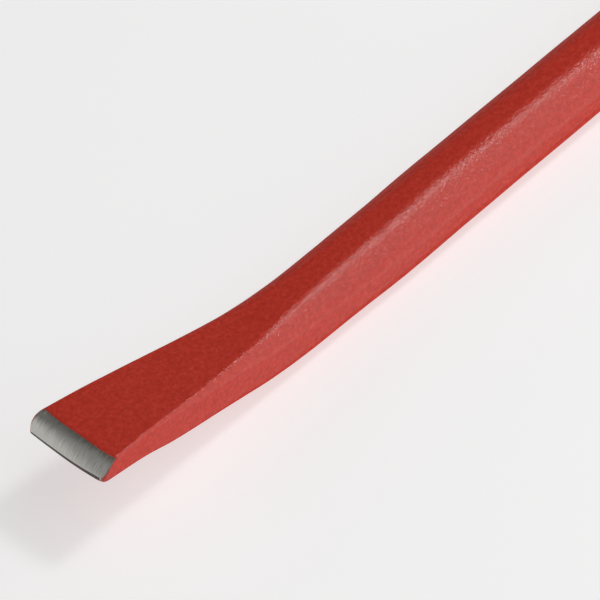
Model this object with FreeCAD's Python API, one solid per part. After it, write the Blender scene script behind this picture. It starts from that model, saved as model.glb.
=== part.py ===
"""Cranked flat chisel for masonry: an octagonal bar forged out to a thin flat blade, with an enamel coat.

The bar lies along X with the blade towards -X and the struck head towards +X. Its lowest flat rests on Z = 0
and the blade is cranked upwards. Lengths are in millimetres and angles in degrees.
"""
import FreeCAD, Part
import math
import os
from FreeCAD import Vector

# Driving dimensions
OVERALL_LENGTH = 250.0       # measured along the centre line, from the cutting edge to the struck face
BAR_ACROSS_FLATS = 19.0      # bare octagonal bar
CORNER_ROUNDING = 0.95       # corner radius of the bar, as a share of its corner cut
CRANK_ANGLE = 15.0           # between the blade and the bar
BLADE_STRAIGHT = 54.5        # straight length of the blade, from the cutting edge to the bend
BEND_RADIUS = 93.0           # radius of the centre line in the bend
COAT_THICKNESS = 0.2

# Forged blade: distance from the cutting edge, half width, height above and depth below the centre line,
# and corner cut. The last row is the plain bar.
OCTAGON_CUT = BAR_ACROSS_FLATS * (1.0 - 1.0 / math.sqrt(2.0))
BAR_HALF = BAR_ACROSS_FLATS / 2.0
FORGED_LENGTH = 130.0
STATIONS = [
    (0.0, 12.4, 2.1, 2.8, 0.3),
    (15.0, 11.1, 3.8, 3.3, 0.4),
    (25.0, 10.4, 4.5, 4.5, 0.6),
    (40.0, 9.5, 5.6, 5.5, 1.3),
    (55.0, 8.9, 7.1, 6.5, 2.4),
    (70.0, 8.6, 8.6, 7.5, 3.6),
    (85.0, 8.7, 8.8, 8.5, 4.4),
    (105.0, 9.2, 8.9, 9.3, 5.0),
    (FORGED_LENGTH, BAR_HALF, BAR_HALF, BAR_HALF, OCTAGON_CUT),
]
SECTION_COUNT = 21           # even sections that the forged stretch is lofted through
LAST_GAP = 0.1               # a last, close section keeps the loft level where it meets the plain bar
LOFT_DEGREE = 5
TRIM_ALLOWANCE = 10.0        # length of blank ahead of the cutting edge, which the bevel takes off
COAT_SET_BACK = 1.0          # the coat's blank starts this far behind the steel's

# Ground bevel on the upper side of the blade
BEVEL_LENGTH = 4.1
BEVEL_CROWN = 0.6            # how far the bevel bulges from a flat
EDGE_LAND = 0.5              # height of the blunt face left under the bevel
EDGE_BOW = 0.9               # how far the middle of the cutting edge stands ahead of its ends

# Struck head
HEAD_BARE_LENGTH = 12.0      # the coat stops this far from the struck face
HEAD_FACE_RADIUS = 7.0
HEAD_CONE_LENGTH = 3.5


def station_slope(index, column):
    """Slope of one column of STATIONS at a row, from the rows on both sides; level at the bar's end."""
    if index == len(STATIONS) - 1:
        return 0.0
    before = STATIONS[max(index - 1, 0)]
    after = STATIONS[index + 1]
    return (after[column] - before[column]) / (after[0] - before[0])


def section_size(distance):
    """Half width, height, depth and corner cut at a distance from the cutting edge."""
    index = 0
    while index < len(STATIONS) - 2 and distance > STATIONS[index + 1][0]:
        index += 1
    low = STATIONS[index]
    high = STATIONS[index + 1]
    span = high[0] - low[0]
    t = (distance - low[0]) / span
    sizes = []
    for column in range(1, len(low)):
        start_slope = station_slope(index, column) * span
        end_slope = station_slope(index + 1, column) * span
        rise = high[column] - low[column]
        cubic = start_slope + end_slope - 2.0 * rise
        square = 3.0 * rise - 2.0 * start_slope - end_slope
        sizes.append(low[column] + t * (start_slope + t * (square + t * cubic)))
    return sizes


def centre_line(distance):
    """Point on the centre line, with the directions along it (towards the head) and above it."""
    angle = math.radians(CRANK_ANGLE)
    bend_length = BEND_RADIUS * angle
    past_bend = distance - BLADE_STRAIGHT - bend_length
    turned = min(max(-past_bend, 0.0), bend_length) / BEND_RADIUS
    straight = max(-past_bend - bend_length, 0.0)
    x = max(past_bend, 0.0) - BEND_RADIUS * math.sin(turned) - straight * math.cos(turned)
    z = BEND_RADIUS * (1.0 - math.cos(turned)) + straight * math.sin(turned)
    along = Vector(math.cos(turned), 0, -math.sin(turned))
    above = Vector(math.sin(turned), 0, math.cos(turned))
    return Vector(x, 0, z), along, above


def octagon_corners(half_width, height, depth, cut):
    """The eight corners of a section as (across, up) pairs, in order round it."""
    return [
        (half_width, cut - depth),
        (half_width, height - cut),
        (half_width - cut, height),
        (cut - half_width, height),
        (-half_width, height - cut),
        (-half_width, cut - depth),
        (cut - half_width, -depth),
        (half_width - cut, -depth),
    ]


def rounded_section(distance, growth):
    """Closed wire of the section, with rounded corners, grown outwards by a wall thickness."""
    half_width, height, depth, cut = section_size(distance)
    radius = CORNER_ROUNDING * cut + growth
    grown_cut = cut + growth * (2.0 - math.sqrt(2.0))
    corners = octagon_corners(half_width + growth, height + growth, depth + growth, grown_cut)
    trim = radius * math.tan(math.pi / 8.0)
    sagitta = radius * (1.0 / math.cos(math.pi / 8.0) - 1.0)
    centre, _, above = centre_line(distance)
    across = Vector(0, -1, 0)
    points = [centre + across * a + above * u for a, u in corners]
    edges = []
    for index, corner in enumerate(points):
        after = points[(index + 1) % len(points)]
        following = points[(index + 2) % len(points)]
        run = (after - corner).normalize()
        next_run = (following - after).normalize()
        inward = (next_run - run).normalize()
        arc_start = after - run * trim
        arc_end = after + next_run * trim
        edges.append(Part.LineSegment(corner + run * trim, arc_start).toShape())
        edges.append(Part.Arc(arc_start, after + inward * sagitta, arc_end).toShape())
    return Part.Wire(edges)


def bar_blank(growth, start, end):
    """Blade, bend and bar as one solid, from ahead of the cutting edge to a distance along the bar."""
    step = (FORGED_LENGTH - LAST_GAP - start) / (SECTION_COUNT - 1)
    wires = [rounded_section(start + index * step, growth) for index in range(SECTION_COUNT)]
    bar_section = rounded_section(FORGED_LENGTH, growth)
    wires.append(bar_section)
    forged = Part.makeLoft(wires, True, False, False, LOFT_DEGREE)
    plain = Part.Face(bar_section).extrude(Vector(end - FORGED_LENGTH, 0, 0))
    return forged.fuse(plain)


def bevel_cutter():
    """Everything that grinding takes off the blade's end, turned about an axis far up the blade."""
    edge, along, above = centre_line(0.0)
    depth = section_size(0.0)[2]
    height = section_size(BEVEL_LENGTH)[1]
    reach = BAR_ACROSS_FLATS

    def place(s, n):
        return edge + along * s + above * n

    top = place(BEVEL_LENGTH, height)
    land = place(0.0, EDGE_LAND - depth)
    chord = top - land
    half_chord = chord.Length / 2.0
    bevel_radius = (half_chord ** 2 + BEVEL_CROWN ** 2) / (2.0 * BEVEL_CROWN)
    outward = (above * chord.dot(along) - along * chord.dot(above)).normalize()
    crown = (top + land) * 0.5 + outward * BEVEL_CROWN
    # the arc runs on past the steel to its own highest point, so that it cuts the coat as well
    summit = crown - outward * bevel_radius + above * bevel_radius
    edges = [
        Part.Arc(land, crown, summit).toShape(),
        Part.LineSegment(summit, summit + above * reach).toShape(),
        Part.LineSegment(summit + above * reach, place(-reach, reach)).toShape(),
        Part.LineSegment(place(-reach, reach), place(-reach, -reach)).toShape(),
        Part.LineSegment(place(-reach, -reach), place(0.0, -reach)).toShape(),
        Part.LineSegment(place(0.0, -reach), land).toShape(),
    ]
    profile = Part.Face(Part.Wire(edges))
    half_width = section_size(0.0)[0]
    bow_radius = (half_width ** 2 + EDGE_BOW ** 2) / (2.0 * EDGE_BOW)
    pivot = place(bow_radius, 0.0)
    half_sweep = math.degrees(math.asin(BAR_ACROSS_FLATS / bow_radius))
    profile.rotate(pivot, above, -half_sweep)
    return profile.revolve(pivot, above, 2.0 * half_sweep)


def head_envelope():
    """Round bar with a coned end that trims the corners of the struck head."""
    start, along, _ = centre_line(OVERALL_LENGTH / 2.0)
    straight_length = OVERALL_LENGTH / 2.0 - HEAD_CONE_LENGTH
    outer_radius = BAR_ACROSS_FLATS
    cone_radius = HEAD_FACE_RADIUS + HEAD_CONE_LENGTH
    body = Part.makeCylinder(outer_radius, straight_length, start, along)
    cone = Part.makeCone(cone_radius, HEAD_FACE_RADIUS, HEAD_CONE_LENGTH, start + along * straight_length, along)
    return body.fuse(cone)


def steel_forging():
    """The bare steel piece, with its ground bevel and coned head."""
    blank = bar_blank(0.0, -TRIM_ALLOWANCE, OVERALL_LENGTH)
    reach = 2.0 * BAR_ACROSS_FLATS
    middle = centre_line(OVERALL_LENGTH / 2.0)[0]
    front = Part.makeBox(OVERALL_LENGTH, 2.0 * reach, 2.0 * reach,
                         Vector(middle.x - OVERALL_LENGTH, -reach, -reach))
    trimmed = blank.common(front.fuse(head_envelope()))
    return trimmed.cut(bevel_cutter())


def enamel_coat():
    """The fired coat: a shell over all of the forging except its bevel and its head."""
    end = OVERALL_LENGTH - HEAD_BARE_LENGTH
    outside = bar_blank(COAT_THICKNESS, COAT_SET_BACK - TRIM_ALLOWANCE, end)
    shell = outside.cut(bar_blank(0.0, -TRIM_ALLOWANCE, OVERALL_LENGTH))
    return shell.cut(bevel_cutter())


def stand_on_floor(pieces):
    """Move the pieces so that the origin is the middle of the underside of their common box."""
    box = Part.makeCompound(list(pieces.values())).optimalBoundingBox(False, False)
    shift = Vector(-(box.XMin + box.XMax) / 2.0, 0, BAR_HALF + COAT_THICKNESS)
    for shape in pieces.values():
        shape.translate(shift)


def main():
    pieces = {"steel_forging": steel_forging(), "enamel_coat": enamel_coat()}
    stand_on_floor(pieces)
    os.makedirs("parts", exist_ok=True)
    for name, shape in pieces.items():
        shape.exportStep(os.path.join("parts", name + ".step"))
        box = shape.optimalBoundingBox(False, False)
        print(name, "solids", len(shape.Solids), "valid", shape.isValid(), "volume", round(shape.Volume, 1),
              "x", round(box.XMin, 2), round(box.XMax, 2), "y", round(box.YMin, 2), round(box.YMax, 2),
              "z", round(box.ZMin, 2), round(box.ZMax, 2))
    shared = pieces["steel_forging"].common(pieces["enamel_coat"])
    print("overlap", round(shared.Volume, 4))


main()
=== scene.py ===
"""Looks of the cranked flat chisel: a red enamel coat over a forged bar with a ground bevel.

The object lies along X with its blade towards -X, and rests on Z = 0. Its two sides, -Y (near the camera) and
+Y (far from it), are alike but for the ground bevel. Sizes are in millimetres, as in the CAD part, until a
point goes into a mesh. A distance is measured from the cutting edge along the centre line.
"""

import math

import bpy
from mathutils import Matrix, Vector, noise


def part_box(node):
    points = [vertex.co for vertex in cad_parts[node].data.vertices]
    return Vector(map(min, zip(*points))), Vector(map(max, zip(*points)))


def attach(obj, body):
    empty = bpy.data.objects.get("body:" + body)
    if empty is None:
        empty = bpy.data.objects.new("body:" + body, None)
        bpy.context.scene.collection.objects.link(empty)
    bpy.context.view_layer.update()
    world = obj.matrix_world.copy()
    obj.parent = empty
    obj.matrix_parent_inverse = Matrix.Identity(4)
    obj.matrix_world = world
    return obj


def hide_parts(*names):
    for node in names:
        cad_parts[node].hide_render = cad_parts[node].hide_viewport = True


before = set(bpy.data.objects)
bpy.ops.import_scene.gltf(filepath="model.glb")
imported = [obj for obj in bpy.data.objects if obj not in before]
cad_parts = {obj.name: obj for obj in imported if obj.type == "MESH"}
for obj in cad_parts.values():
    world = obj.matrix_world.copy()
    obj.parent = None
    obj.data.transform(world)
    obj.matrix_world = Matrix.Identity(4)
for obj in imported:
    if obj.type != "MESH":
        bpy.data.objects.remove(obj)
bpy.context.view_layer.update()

MM = 0.001

# The bar and its crank
BAR_ACROSS_FLATS = 19.0
CORNER_ROUNDING = 0.95       # radius of a rounded corner as a share of the corner cut
CRANK_ANGLE = math.radians(15.0)
BLADE_STRAIGHT = 54.5        # straight length before the bend
BEND_RADIUS = 93.0
BEND_LENGTH = BEND_RADIUS * CRANK_ANGLE
OVERALL_LENGTH = 250.0
FORGED_LENGTH = 130.0        # the bar is a plain octagon beyond this distance
COAT_THICKNESS = 0.2
BAR_HALF = BAR_ACROSS_FLATS / 2.0
OCTAGON_CUT = BAR_ACROSS_FLATS * (1.0 - 1.0 / math.sqrt(2.0))

# Distance, half width, height above and depth below the centre line, corner cut
STATIONS = [
    (0.0, 12.4, 2.1, 2.8, 0.3),
    (15.0, 11.1, 3.8, 3.3, 0.4),
    (25.0, 10.4, 4.5, 4.5, 0.6),
    (40.0, 9.5, 5.6, 5.5, 1.3),
    (55.0, 8.9, 7.1, 6.5, 2.4),
    (70.0, 8.6, 8.6, 7.5, 3.6),
    (85.0, 8.7, 8.8, 8.5, 4.4),
    (105.0, 9.2, 8.9, 9.3, 5.0),
    (FORGED_LENGTH, BAR_HALF, BAR_HALF, BAR_HALF, OCTAGON_CUT),
]

# Ground bevel
BEVEL_LENGTH = 4.1
EDGE_LAND = 0.5              # height of the blunt land under the bevel at its far end
NEAR_LAND_EXTRA = 0.45       # the land is this much higher at its near end
EDGE_BOW = 0.9               # setback of the near end of the cutting edge
FAR_EDGE_BOW = 0.26          # setback of its far end
BOW_FADE = 25.0              # the rows of the mesh are straight again at this distance
BEVEL_ROLL = 1.12            # at the near end: 1 is a flat bevel, 2 an ellipse, and more is squarer
FAR_BEVEL_ROLL = 2.15        # at the far end
ROLL_EASING = 1.8            # above 1, the roll changes more towards the far end
TIP_CORNER = 1.4             # radius seen from above at the near end of the cutting edge
FAR_TIP_CORNER = 0.4         # the same at its far end

# Coat
COAT_END = OVERALL_LENGTH - 12.0
COAT_FEATHER = 0.4           # length over which grinding has thinned the coat beside the bevel
COAT_RIM = 0.02              # thickness left at the ground edge of the coat
COAT_START = 3.85            # bare length on top of the blade
COAT_TOP_SHARE = 0.1         # share of the section's height that counts as its top
GROUND_SHARE = 0.995         # the coat starts where the bevel rises to this share of a column's height
COAT_START_HALVINGS = 24
WAVER_SWING = 0.10           # slow unevenness of the coat's edge on top of the blade
WAVER_SWING_RATE = 0.42
WAVER_SWING_PHASE = 0.9
WAVER_JITTER = 0.12          # quick unevenness of the same edge
WAVER_JITTER_RATE = 1.3
WAVER_JITTER_ROW = 3.0       # where the noise is read

# Unevenness of the forged surface: wavelength, height, and a shift that keeps the three layers apart
RIPPLES = [
    (15.0, 0.09, Vector((0.0, 0.0, 0.0))),
    (5.5, 0.018, Vector((40.0, 0.0, 0.0))),
    (1.9, 0.007, Vector((0.0, 70.0, 0.0))),
]
RIPPLE_AT_BEVEL = 0.25       # share of it that is left beside the bevel
RIPPLE_GROWTH = 8.0          # length over which it grows from there to all of it

# Struck head
HEAD_CONE_LENGTH = 3.5
HEAD_FACE_RADIUS = 7.0
CONE_START = OVERALL_LENGTH - HEAD_CONE_LENGTH
PLAIN_BAR_START = COAT_END - 1.0     # the steel is without unevenness from here to the head

# Mesh: cuts along each of the eight flats, starting with the near side and going over the top
FLAT_CUTS = (16, 8, 48, 8, 16, 8, 48, 8)
FLAT_COUNT = len(FLAT_CUTS)
TOP_FLAT = 2
BOTTOM_FLAT = 6
CORNER_TURN = math.pi / 4.0
ARC_CUTS = 6                 # cuts round each corner between two flats
COLUMN_COUNT = sum(FLAT_CUTS) + FLAT_COUNT * ARC_CUTS
BEVEL_ROWS = 26
BEVEL_ROW_CROWDING = 1.3     # above 1, the steel's rows crowd towards the cutting edge
BLADE_ROWS = 24
BLADE_ROW_CROWDING = 1.6     # the same for the rows of the coat
BLADE_ROWS_END = 15.0        # from here on the rows of the coat are even
FORGED_STEP = 1.0
BAR_STEP = 2.5
STEEL_BLADE_STEP = 1.0
STEEL_FORGED_STEP = 2.0
HEAD_STEP = 0.5
CONE_STEP = 0.35
FACE_RINGS = (0.97, 0.9, 0.8, 0.7, 0.6, 0.5, 0.4, 0.3, 0.2, 0.1)     # sizes, as shares of the struck face

# Enamel: positions and colours of the mottle, scales to the metre, and depths in metres
ENAMEL_SHADES = [(0.34, (0.55, 0.035, 0.019)), (0.50, (0.63, 0.043, 0.025)), (0.66, (0.70, 0.056, 0.035))]
MOTTLE_SCALE = 850.0
SWELL_SCALE = 260.0
SWELL_DEPTH = 0.00006        # broad waves of the whole coat
PEEL_SCALE = 1100.0
PEEL_DEPTH = 0.00010         # orange peel in its colour
GLITTER_DEPTH = 0.00029      # the same orange peel in its gloss
GLOSS_FACING = (0.38, 0.57)  # the gloss fades between these, where 0 faces the eye and 1 is edge on
GLOSS_WEIGHT = (1.0, 0.13)
GLOSS_ROUGHNESS = 0.23
GLOSS_IOR = 1.54
ENAMEL_ROUGHNESS = 0.6

# Steel: positions and colours of the grinding marks, and the painted shade that is mixed with them
STEEL_SHADES = [(0.28, (0.33, 0.325, 0.295)), (0.50, (0.58, 0.57, 0.53)), (0.72, (0.80, 0.79, 0.75))]
# Painted shade: the steel darkens towards the coat, where the bevel curves up into it
PAINTED_SHADE_COLOUR = (0.27, 0.225, 0.18, 1.0)
# Painted shade on the blunt land under the bevel, which faces away from the lights
PAINTED_LAND_SHADE = (0.085, 0.082, 0.075, 1.0)
PAINTED_SHADE_FADE = (-0.1, 2.2)    # the painted shade fades out between these distances from the coat
MARK_DENSITY = (6.5, 0.40, 1.0)      # denser across than along, so the marks run away from the edge
MARK_DEPTH = 0.0001
PATCH_DENSITY = (0.22, 0.05, 1.0)
MARK_LIMITS = (0.3, 0.7)     # marks of these strengths shift the edge of the painted shade by the distances below
STREAK_LIMITS = (-0.5, 0.5)
STEEL_ROUGHNESS = (0.38, 0.58)
STEEL_METALLIC = 0.9

# Sockets of a colour mix, which go by number
MIX_FIRST = 6
MIX_SECOND = 7
MIX_RESULT = 2

# Studio, in metres
FLOOR_HALF = 6.0
FLOOR_GREY = (0.50, 0.50, 0.50, 1.0)
FLOOR_ROUGHNESS = 0.9
FLOOR_GLOW = 0.57
WHITE = (1.0, 1.0, 1.0, 1.0)
WORLD_STRENGTH = 0.05
SOFTBOX_TARGET = Vector((-0.03, 0.0, 0.012))
SOFTBOX_DISTANCE = 1.2
# Name, direction from the target, width and height, brightness when seen
SOFTBOXES = [
    ("key_softbox", (0.42, -0.284, 0.862), (0.21, 0.21), 28.0),
    ("front_softbox", (0.42, -0.66, 0.62), (1.60, 1.80), 1.03),
    ("tip_softbox", (-0.75, 0.56, 0.31), (1.1, 0.74), 1.0),
]

# Camera: a long lens, seen from above the blade's near side
CAMERA_AZIMUTH = math.radians(-38.48)
CAMERA_ELEVATION = math.radians(47.41)
CAMERA_ROLL = math.radians(-9.38)
CAMERA_DISTANCE = 900.0
CAMERA_TARGET = Vector((-46.72, 1.55, 10.88))
CAMERA_LENS = 222.07
CAMERA_SENSOR = 36.0
CAMERA_CLIP_START = 0.01

# Where the CAD part has its head, and so its centre line
HEAD_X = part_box("steel_forging")[1].x / MM
BEND_END_X = HEAD_X - (OVERALL_LENGTH - BLADE_STRAIGHT - BEND_LENGTH)
BAR_Z = BAR_HALF + COAT_THICKNESS


def station_slope(index, column):
    """Slope of one column of STATIONS at a row; level at the bar's end."""
    if index == len(STATIONS) - 1:
        return 0.0
    before = STATIONS[max(index - 1, 0)]
    after = STATIONS[index + 1]
    return (after[column] - before[column]) / (after[0] - before[0])


def section_size(distance):
    """Half width, height, depth and corner cut at a distance, on smooth curves through the stations."""
    distance = min(distance, FORGED_LENGTH)
    index = 0
    while index < len(STATIONS) - 2 and distance > STATIONS[index + 1][0]:
        index += 1
    low = STATIONS[index]
    high = STATIONS[index + 1]
    span = high[0] - low[0]
    t = (distance - low[0]) / span
    sizes = []
    for column in range(1, len(low)):
        start_slope = station_slope(index, column) * span
        end_slope = station_slope(index + 1, column) * span
        rise = high[column] - low[column]
        cubic = start_slope + end_slope - 2.0 * rise
        square = 3.0 * rise - 2.0 * start_slope - end_slope
        sizes.append(low[column] + t * (start_slope + t * (square + t * cubic)))
    return sizes


def centre_line(distance):
    """Point on the centre line, with the direction above it."""
    past_bend = distance - BLADE_STRAIGHT - BEND_LENGTH
    turned = min(max(-past_bend, 0.0), BEND_LENGTH) / BEND_RADIUS
    straight = max(-past_bend - BEND_LENGTH, 0.0)
    x = max(past_bend, 0.0) - BEND_RADIUS * math.sin(turned) - straight * math.cos(turned)
    z = BEND_RADIUS * (1.0 - math.cos(turned)) + straight * math.sin(turned)
    above = Vector((math.sin(turned), 0, math.cos(turned)))
    return Vector((BEND_END_X + x, 0, BAR_Z + z)), above


def corner_inset(distance, radius):
    """How far a rounded corner has drawn in at a distance."""
    if distance >= radius:
        return 0.0
    return radius - math.sqrt(radius ** 2 - (radius - distance) ** 2)


def outline(distance, growth):
    """Section as a closed list of (across, up) points: flats and rounded corners, grown by a thickness.

    Across is positive on the near side.
    """
    half_width, height, depth, cut = section_size(distance)
    near_scale = 1.0 - corner_inset(distance, TIP_CORNER) / half_width
    far_scale = 1.0 - corner_inset(distance, FAR_TIP_CORNER) / half_width
    radius = CORNER_ROUNDING * cut + growth
    cut += growth * (2.0 - math.sqrt(2.0))
    half_width += growth
    height += growth
    depth += growth
    corners = [Vector(pair) for pair in (
        (half_width, cut - depth), (half_width, height - cut), (half_width - cut, height),
        (cut - half_width, height), (-half_width, height - cut), (-half_width, cut - depth),
        (cut - half_width, -depth), (half_width - cut, -depth))]
    trim = radius * math.tan(CORNER_TURN / 2.0)
    points = []
    for index, corner in enumerate(corners):
        after = corners[(index + 1) % FLAT_COUNT]
        following = corners[(index + 2) % FLAT_COUNT]
        run = (after - corner).normalized()
        next_run = (following - after).normalized()
        inward = (next_run - run).normalized()
        start = corner + run * trim
        end = after - run * trim
        cuts = FLAT_CUTS[index]
        points += [start.lerp(end, cut_index / cuts) for cut_index in range(cuts)]
        arc_centre = after + inward * (radius / math.cos(CORNER_TURN / 2.0))
        spoke = end - arc_centre
        for arc_index in range(ARC_CUTS):
            turn = Matrix.Rotation(CORNER_TURN * arc_index / ARC_CUTS, 2)
            points.append(arc_centre + turn @ spoke)
    for point in points:
        point.x *= near_scale if point.x > 0.0 else far_scale
    return points


def flat_columns(flat):
    """Columns of the mesh on one of the eight flats, both its ends included."""
    start = sum(FLAT_CUTS[:flat]) + flat * ARC_CUTS
    return range(start, start + FLAT_CUTS[flat] + 1)


def bevel_height(distance, across):
    """Height of the ground bevel above the centre line."""
    half_width, _, depth, _ = section_size(0.0)
    top = section_size(BEVEL_LENGTH)[1]
    far_share = min(max(1.0 - across / half_width, 0.0) / 2.0, 1.0)
    land = EDGE_LAND + NEAR_LAND_EXTRA * (1.0 - far_share) - depth
    roll = BEVEL_ROLL + (FAR_BEVEL_ROLL - BEVEL_ROLL) * far_share ** ROLL_EASING
    t = min(max(distance / BEVEL_LENGTH, 0.0), 1.0)
    return land + (top - land) * (1.0 - (1.0 - t) ** roll) ** (1.0 / roll)


def forging_ripple(point, distance):
    """Height of the forged surface's unevenness at a point."""
    ripple = 0.0
    for wavelength, height, shift in RIPPLES:
        ripple += noise.noise(point / wavelength + shift) * height
    grown = min(max((distance - BEVEL_LENGTH) / RIPPLE_GROWTH, 0.0), 1.0)
    return ripple * (RIPPLE_AT_BEVEL + (1.0 - RIPPLE_AT_BEVEL) * grown)


def place(distance, across, up, lift=0.0):
    """A point of the section at a distance, with the cutting edge's bow, lifted away from the centre line."""
    fade = min(max(1.0 - (distance - BEVEL_LENGTH) / (BOW_FADE - BEVEL_LENGTH), 0.0), 1.0)
    setback = EDGE_BOW if across > 0.0 else FAR_EDGE_BOW
    bow = setback * (across / STATIONS[0][1]) ** 2 * fade * fade
    centre, above = centre_line(distance + bow)
    offset = Vector((0, -across, 0)) + above * up
    return centre + offset + offset.normalized() * lift


def place_uneven(distance, across, up):
    """A point of the section with the forged surface's unevenness."""
    even = place(distance, across, up)
    return place(distance, across, up, forging_ripple(even, distance))


def steel_row(distance):
    """Ring of points round the steel, brought down to the bevel near the cutting edge."""
    ring = []
    _, height, depth, _ = section_size(distance)
    for across, up in outline(distance, 0.0):
        if distance < BEVEL_LENGTH:
            share = (up + depth) / (height + depth)
            up = -depth + share * (bevel_height(distance, across) + depth)
            ring.append(place(distance, across, up))
        else:
            ring.append(place_uneven(distance, across, up))
    return ring


def coat_waver(across):
    """Unevenness of the coat's edge on top of the blade."""
    swing = WAVER_SWING * math.sin(across * WAVER_SWING_RATE + WAVER_SWING_PHASE)
    jitter = WAVER_JITTER * noise.noise(Vector((across * WAVER_JITTER_RATE, WAVER_JITTER_ROW, 0.0)))
    return swing + jitter


def coat_start(column):
    """Distance at which the coat begins on a column of the mesh, found by halving the bevel's length."""
    _, height, depth, _ = section_size(BEVEL_LENGTH / 2.0)
    across, up = outline(BEVEL_LENGTH / 2.0, 0.0)[column]
    share = (up + depth) / (height + depth)
    low = 0.0
    high = BEVEL_LENGTH
    for _ in range(COAT_START_HALVINGS):
        middle = (low + high) / 2.0
        _, height, depth, _ = section_size(middle)
        if bevel_height(middle, across) + depth < share * (height + depth) * GROUND_SHARE:
            low = middle
        else:
            high = middle
    on_top = max(0.0, (share - (1.0 - COAT_TOP_SHARE)) / COAT_TOP_SHARE)
    return low + (COAT_START + coat_waver(across) - low) * on_top


def coat_ring(row, starts, growth):
    """Ring of points of the coat; row is the distance that the ring would have without the bevel."""
    rings = {}
    ring = []
    for column, start in enumerate(starts):
        if row < BLADE_ROWS_END:
            distance = start + row * (BLADE_ROWS_END - start) / BLADE_ROWS_END
        else:
            distance = row
        feather = min((distance - start) / COAT_FEATHER, 1.0)
        thickness = growth * max(feather, COAT_RIM / COAT_THICKNESS)
        key = (distance, thickness)
        if key not in rings:
            rings[key] = outline(distance, thickness)
        across, up = rings[key][column]
        if distance < BEVEL_LENGTH:
            up = min(up, bevel_height(distance, across) + thickness)
        ring.append(place_uneven(distance, across, up))
    return ring


def crowded(start, end, count, crowding):
    """Stops from start to end, both included, that crowd towards the start."""
    return [start + (end - start) * (index / count) ** crowding for index in range(count + 1)]


def spread(start, end, step):
    """Even stops from start to end, start left out."""
    count = max(1, round((end - start) / step))
    return [start + (end - start) * index / count for index in range(1, count + 1)]


def ring_faces(first, second):
    """Quads between two closed rings of vertex numbers, facing outwards when the second is nearer the head."""
    faces = []
    for index in range(COLUMN_COUNT):
        after = (index + 1) % COLUMN_COUNT
        faces.append((first + index, second + index, second + after, first + after))
    return faces


def new_piece(name, points, faces, uv_layers):
    """Object from points in millimetres, with named UV layers that have a pair of numbers for each point."""
    mesh = bpy.data.meshes.new(name)
    mesh.from_pydata([point * MM for point in points], [], faces)
    mesh.update()
    for layer_name, point_uvs in uv_layers.items():
        layer = mesh.uv_layers.new(name=layer_name)
        for loop in mesh.loops:
            layer.data[loop.index].uv = point_uvs[loop.vertex_index]
    mesh.polygons.foreach_set("use_smooth", [True] * len(mesh.polygons))
    piece = bpy.data.objects.new(name, mesh)
    bpy.context.scene.collection.objects.link(piece)
    return piece


def build_coat(starts):
    """The enamel as a closed shell: outer rings from bevel to head, and inner rings back again."""
    rows = crowded(0.0, BLADE_ROWS_END, BLADE_ROWS, BLADE_ROW_CROWDING)
    rows += spread(BLADE_ROWS_END, FORGED_LENGTH, FORGED_STEP)
    rows += spread(FORGED_LENGTH, COAT_END, BAR_STEP)
    points = []
    grain = []
    layers = [(row, COAT_THICKNESS) for row in rows] + [(row, 0.0) for row in reversed(rows)]
    for row, growth in layers:
        ring = coat_ring(row, starts, growth)
        points += ring
        grain += [(-point.y, row) for point in ring]
    faces = []
    for index in range(len(layers)):
        following = (index + 1) % len(layers)
        faces += ring_faces(index * COLUMN_COUNT, following * COLUMN_COUNT)
    return new_piece("enamel_skin", points, faces, {"grain": grain})


def head_row(distance, shrink):
    """Ring of the struck head: the bar's section held inside the cone, then drawn in across the face."""
    limit = HEAD_FACE_RADIUS + HEAD_CONE_LENGTH - max(distance - CONE_START, 0.0)
    ring = []
    for across, up in outline(FORGED_LENGTH, 0.0):
        factor = min(1.0, limit / math.hypot(across, up)) * shrink
        ring.append(place(distance, across * factor, up * factor))
    return ring


def steel_rows():
    """Every ring of the steel with its distance, from the cutting edge to the middle of the struck face."""
    body = crowded(0.0, BEVEL_LENGTH, BEVEL_ROWS, BEVEL_ROW_CROWDING)
    body += spread(BEVEL_LENGTH, BLADE_ROWS_END, STEEL_BLADE_STEP)
    body += spread(BLADE_ROWS_END, FORGED_LENGTH, STEEL_FORGED_STEP)
    body += spread(FORGED_LENGTH, PLAIN_BAR_START, BAR_STEP)
    head = spread(PLAIN_BAR_START, CONE_START, HEAD_STEP) + spread(CONE_START, OVERALL_LENGTH, CONE_STEP)
    rows = [(distance, steel_row(distance)) for distance in body]
    rows += [(distance, head_row(distance, 1.0)) for distance in head]
    rows += [(OVERALL_LENGTH, head_row(OVERALL_LENGTH, shrink)) for shrink in FACE_RINGS]
    return rows


def land_faces():
    """The blunt land under the bevel: quads from the top columns to the bottom ones, and its two ends."""
    tops = list(flat_columns(TOP_FLAT))
    bottoms = list(reversed(flat_columns(BOTTOM_FLAT)))
    faces = []
    for index in range(len(tops) - 1):
        faces.append((tops[index], tops[index + 1], bottoms[index + 1], bottoms[index]))
    near_end = [column % COLUMN_COUNT for column in range(bottoms[0], COLUMN_COUNT + tops[0] + 1)]
    far_end = range(tops[-1], bottoms[-1] + 1)
    return faces + [tuple(near_end), tuple(far_end)]


def build_forging(starts):
    """The steel as a closed body: bevel, blade, bar, coned head and struck face.

    Its "bare" layer holds how far a point lies outside the coat, which places the painted shade next to it, and
    1 on the land, where shade is painted too, but 0 elsewhere.
    """
    rows = steel_rows()
    points = [point for _, ring in rows for point in ring]
    grain = [(-point.y, distance) for distance, ring in rows for point in ring]
    bare = [(max(start - distance, distance - COAT_END), 0.0) for distance, _ in rows for start in starts]
    faces = []
    for index in range(len(rows) - 1):
        faces += ring_faces(index * COLUMN_COUNT, (index + 1) * COLUMN_COUNT)
    last = (len(rows) - 1) * COLUMN_COUNT
    faces.append(tuple(reversed(range(last, last + COLUMN_COUNT))))
    land = land_faces()
    forging = new_piece("forged_steel", points, faces + land, {"grain": grain, "bare": bare})
    bare_layer = forging.data.uv_layers["bare"].data
    for face in forging.data.polygons[-len(land):]:
        for loop_index in face.loop_indices:
            bare_layer[loop_index].uv = (0.0, 1.0)
    return forging


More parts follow.
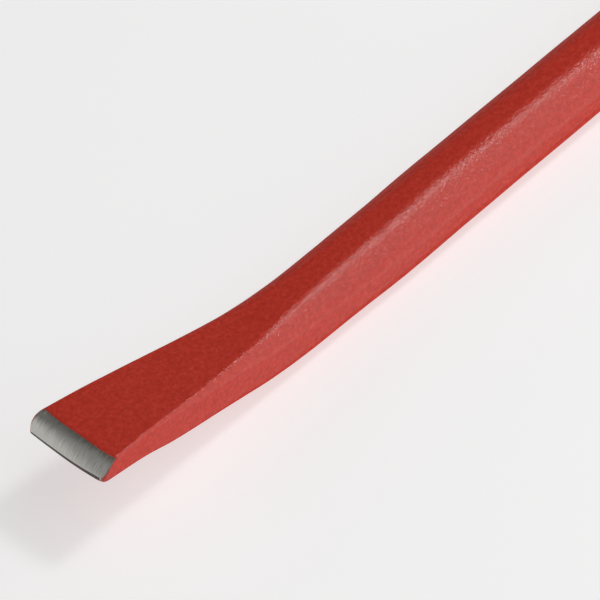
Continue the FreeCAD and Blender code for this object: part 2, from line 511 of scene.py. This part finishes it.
def node(tree, kind, inputs=(), **settings):
    """Shader node with its settings and input values; a (node, socket) pair makes a link."""
    made = tree.nodes.new(kind)
    for name, value in settings.items():
        setattr(made, name, value)
    for key, value in dict(inputs).items():
        if isinstance(value, tuple) and isinstance(value[0], bpy.types.Node):
            tree.links.new(value[0].outputs[value[1]], made.inputs[key])
        else:
            made.inputs[key].default_value = value
    return made


def noise_texture(tree, vector, scale, detail, roughness=0.5):
    """Noise texture over a (node, socket) pair."""
    return node(tree, "ShaderNodeTexNoise", {"Vector": vector, "Scale": scale, "Detail": detail,
                                             "Roughness": roughness})


def bump(tree, height, depth, strength=1.0, **inputs):
    """Bump from a (node, socket) pair, on top of another one if that is given as Normal."""
    return node(tree, "ShaderNodeBump", {"Height": height, "Distance": depth, "Strength": strength, **inputs})


def map_range(tree, value, source, target, **settings):
    """Map a (node, socket) pair from one pair of limits to another."""
    return node(tree, "ShaderNodeMapRange", {
        "Value": value, "From Min": source[0], "From Max": source[1], "To Min": target[0], "To Max": target[1]},
        **settings)


def mix_colours(tree, factor, first, second):
    """Mix of two colours, each a colour or a (node, socket) pair."""
    return node(tree, "ShaderNodeMix", {"Factor": factor, MIX_FIRST: first, MIX_SECOND: second},
                data_type="RGBA")


def colour_ramp(tree, source, stops):
    """Colour ramp fed by a (node, socket) pair; stops are (position, colour)."""
    ramp = node(tree, "ShaderNodeValToRGB", {"Fac": source})
    elements = ramp.color_ramp.elements
    while len(elements) < len(stops):
        elements.new(0.5)
    for element, (position, colour) in zip(elements, stops):
        element.position = position
        element.color = (*colour, 1.0)
    return ramp


def new_material(name):
    """Material with its node tree and its Principled shader."""
    material = bpy.data.materials.new(name)
    material.use_nodes = True
    tree = material.node_tree
    shader = next(item for item in tree.nodes if item.type == "BSDF_PRINCIPLED")
    return material, tree, shader


def enamel_material():
    """Red dipped enamel: mottled colour, and orange peel that breaks up what it reflects."""
    material, tree, shader = new_material("red_enamel")
    spot = (node(tree, "ShaderNodeTexCoord"), "Object")
    mottle = noise_texture(tree, spot, scale=MOTTLE_SCALE, detail=4.0, roughness=0.65)
    colour = colour_ramp(tree, (mottle, "Fac"), ENAMEL_SHADES)
    peel = noise_texture(tree, spot, scale=PEEL_SCALE, detail=3.0, roughness=0.6)
    swell = noise_texture(tree, spot, scale=SWELL_SCALE, detail=2.0)
    waves = bump(tree, (swell, "Fac"), SWELL_DEPTH)
    skin = bump(tree, (peel, "Fac"), PEEL_DEPTH, Normal=(waves, "Normal"))
    glitter = bump(tree, (peel, "Fac"), GLITTER_DEPTH, Normal=(waves, "Normal"))
    facing = node(tree, "ShaderNodeLayerWeight", {"Blend": 0.5})
    gloss = map_range(tree, (facing, "Facing"), GLOSS_FACING, GLOSS_WEIGHT)
    tree.links.new(colour.outputs["Color"], shader.inputs["Base Color"])
    tree.links.new(skin.outputs["Normal"], shader.inputs["Normal"])
    tree.links.new(glitter.outputs["Normal"], shader.inputs["Coat Normal"])
    tree.links.new(gloss.outputs["Result"], shader.inputs["Coat Weight"])
    shader.inputs["Coat Roughness"].default_value = GLOSS_ROUGHNESS
    shader.inputs["Coat IOR"].default_value = GLOSS_IOR
    shader.inputs["Specular IOR Level"].default_value = 0.0
    shader.inputs["Roughness"].default_value = ENAMEL_ROUGHNESS
    return material


def steel_material():
    """Belt-ground steel with marks running away from the edge, with painted shade next to the coat and on the
    land.
    """
    material, tree, shader = new_material("bare_steel")
    grain = (node(tree, "ShaderNodeUVMap", uv_map="grain"), "UV")
    stretch = node(tree, "ShaderNodeMapping", {"Vector": grain, "Scale": MARK_DENSITY})
    marks = noise_texture(tree, (stretch, "Vector"), scale=1.0, detail=5.0, roughness=0.62)
    steel_colour = colour_ramp(tree, (marks, "Fac"), STEEL_SHADES)
    bare = node(tree, "ShaderNodeUVMap", uv_map="bare")
    bare_parts = node(tree, "ShaderNodeSeparateXYZ", {"Vector": (bare, "UV")})
    streak = map_range(tree, (marks, "Fac"), MARK_LIMITS, STREAK_LIMITS)
    patches = node(tree, "ShaderNodeMapping", {"Vector": grain, "Scale": PATCH_DENSITY})
    patchy = noise_texture(tree, (patches, "Vector"), scale=1.0, detail=2.0)
    uneven = node(tree, "ShaderNodeMath", {0: (patchy, "Fac"), 1: (streak, "Result")}, operation="ADD")
    from_coat = node(tree, "ShaderNodeMath", {0: (bare_parts, "X"), 1: (uneven, "Value")}, operation="ADD")
    unshaded = map_range(tree, (from_coat, "Value"), PAINTED_SHADE_FADE, (0.0, 1.0), interpolation_type="SMOOTHSTEP")
    # painted shade next to the coat, broken up by the grinding marks
    ground = mix_colours(tree, (unshaded, "Result"), PAINTED_SHADE_COLOUR, (steel_colour, "Color"))
    # painted shade on the land
    colour = mix_colours(tree, (bare_parts, "Y"), (ground, MIX_RESULT), PAINTED_LAND_SHADE)
    relief = bump(tree, (marks, "Fac"), MARK_DEPTH, strength=0.5)
    rough = map_range(tree, (marks, "Fac"), (0.0, 1.0), STEEL_ROUGHNESS)
    tree.links.new(colour.outputs[MIX_RESULT], shader.inputs["Base Color"])
    tree.links.new(relief.outputs["Normal"], shader.inputs["Normal"])
    tree.links.new(rough.outputs["Result"], shader.inputs["Roughness"])
    shader.inputs["Metallic"].default_value = STEEL_METALLIC
    return material


def floor_material():
    """Pale matt floor with a glow of its own, so that it stays near white."""
    material, _, shader = new_material("pale_floor")
    shader.inputs["Base Color"].default_value = FLOOR_GREY
    shader.inputs["Roughness"].default_value = FLOOR_ROUGHNESS
    shader.inputs["Emission Color"].default_value = WHITE
    shader.inputs["Emission Strength"].default_value = FLOOR_GLOW
    return material


def build_floor():
    """Large pale floor under the object."""
    mesh = bpy.data.meshes.new("floor")
    corners = [(-FLOOR_HALF, -FLOOR_HALF, 0), (FLOOR_HALF, -FLOOR_HALF, 0),
               (FLOOR_HALF, FLOOR_HALF, 0), (-FLOOR_HALF, FLOOR_HALF, 0)]
    mesh.from_pydata(corners, [], [(0, 1, 2, 3)])
    floor = bpy.data.objects.new("floor", mesh)
    bpy.context.scene.collection.objects.link(floor)
    mesh.materials.append(floor_material())


def add_softbox(name, direction, size, radiance):
    """Rectangular soft light that looks at the object from a direction, with a brightness when seen."""
    light = bpy.data.lights.new(name, "AREA")
    light.shape = "RECTANGLE"
    light.size, light.size_y = size
    light.energy = radiance * math.pi * size[0] * size[1]
    lamp = bpy.data.objects.new(name, light)
    bpy.context.scene.collection.objects.link(lamp)
    lamp.location = SOFTBOX_TARGET + Vector(direction).normalized() * SOFTBOX_DISTANCE
    lamp.rotation_euler = (SOFTBOX_TARGET - lamp.location).to_track_quat("-Z", "Y").to_euler()


def build_lights():
    """Softboxes and a faint even surround."""
    for softbox in SOFTBOXES:
        add_softbox(*softbox)
    world = bpy.data.worlds.new("studio")
    world.use_nodes = True
    background = world.node_tree.nodes["Background"]
    background.inputs["Color"].default_value = WHITE
    background.inputs["Strength"].default_value = WORLD_STRENGTH
    bpy.context.scene.world = world
    bpy.context.scene.view_settings.view_transform = "Standard"


def build_camera():
    """Camera at an azimuth and elevation round its target, turned about its own axis by a roll."""
    camera = bpy.data.objects.new("camera", bpy.data.cameras.new("camera"))
    bpy.context.scene.collection.objects.link(camera)
    back = Vector((math.sin(CAMERA_AZIMUTH) * math.cos(CAMERA_ELEVATION),
                   -math.cos(CAMERA_AZIMUTH) * math.cos(CAMERA_ELEVATION), math.sin(CAMERA_ELEVATION)))
    level = Vector((math.cos(CAMERA_AZIMUTH), math.sin(CAMERA_AZIMUTH), 0.0))
    upright = back.cross(level)
    right = level * math.cos(CAMERA_ROLL) + upright * math.sin(CAMERA_ROLL)
    up = back.cross(right)
    turn = Matrix((right, up, back)).transposed()
    camera.matrix_world = Matrix.Translation((CAMERA_TARGET + back * CAMERA_DISTANCE) * MM) @ turn.to_4x4()
    camera.data.lens = CAMERA_LENS
    camera.data.sensor_width = CAMERA_SENSOR
    camera.data.clip_start = CAMERA_CLIP_START
    bpy.context.scene.camera = camera


def main():
    """Build both pieces and tie them to the CAD part, then the studio round them."""
    starts = [coat_start(column) for column in range(COLUMN_COUNT)]
    coat = build_coat(starts)
    coat.data.materials.append(enamel_material())
    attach(coat, "root")
    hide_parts("enamel_coat")
    forging = build_forging(starts)
    forging.data.materials.append(steel_material())
    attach(forging, "root")
    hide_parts("steel_forging")
    build_floor()
    build_lights()
    build_camera()


main()
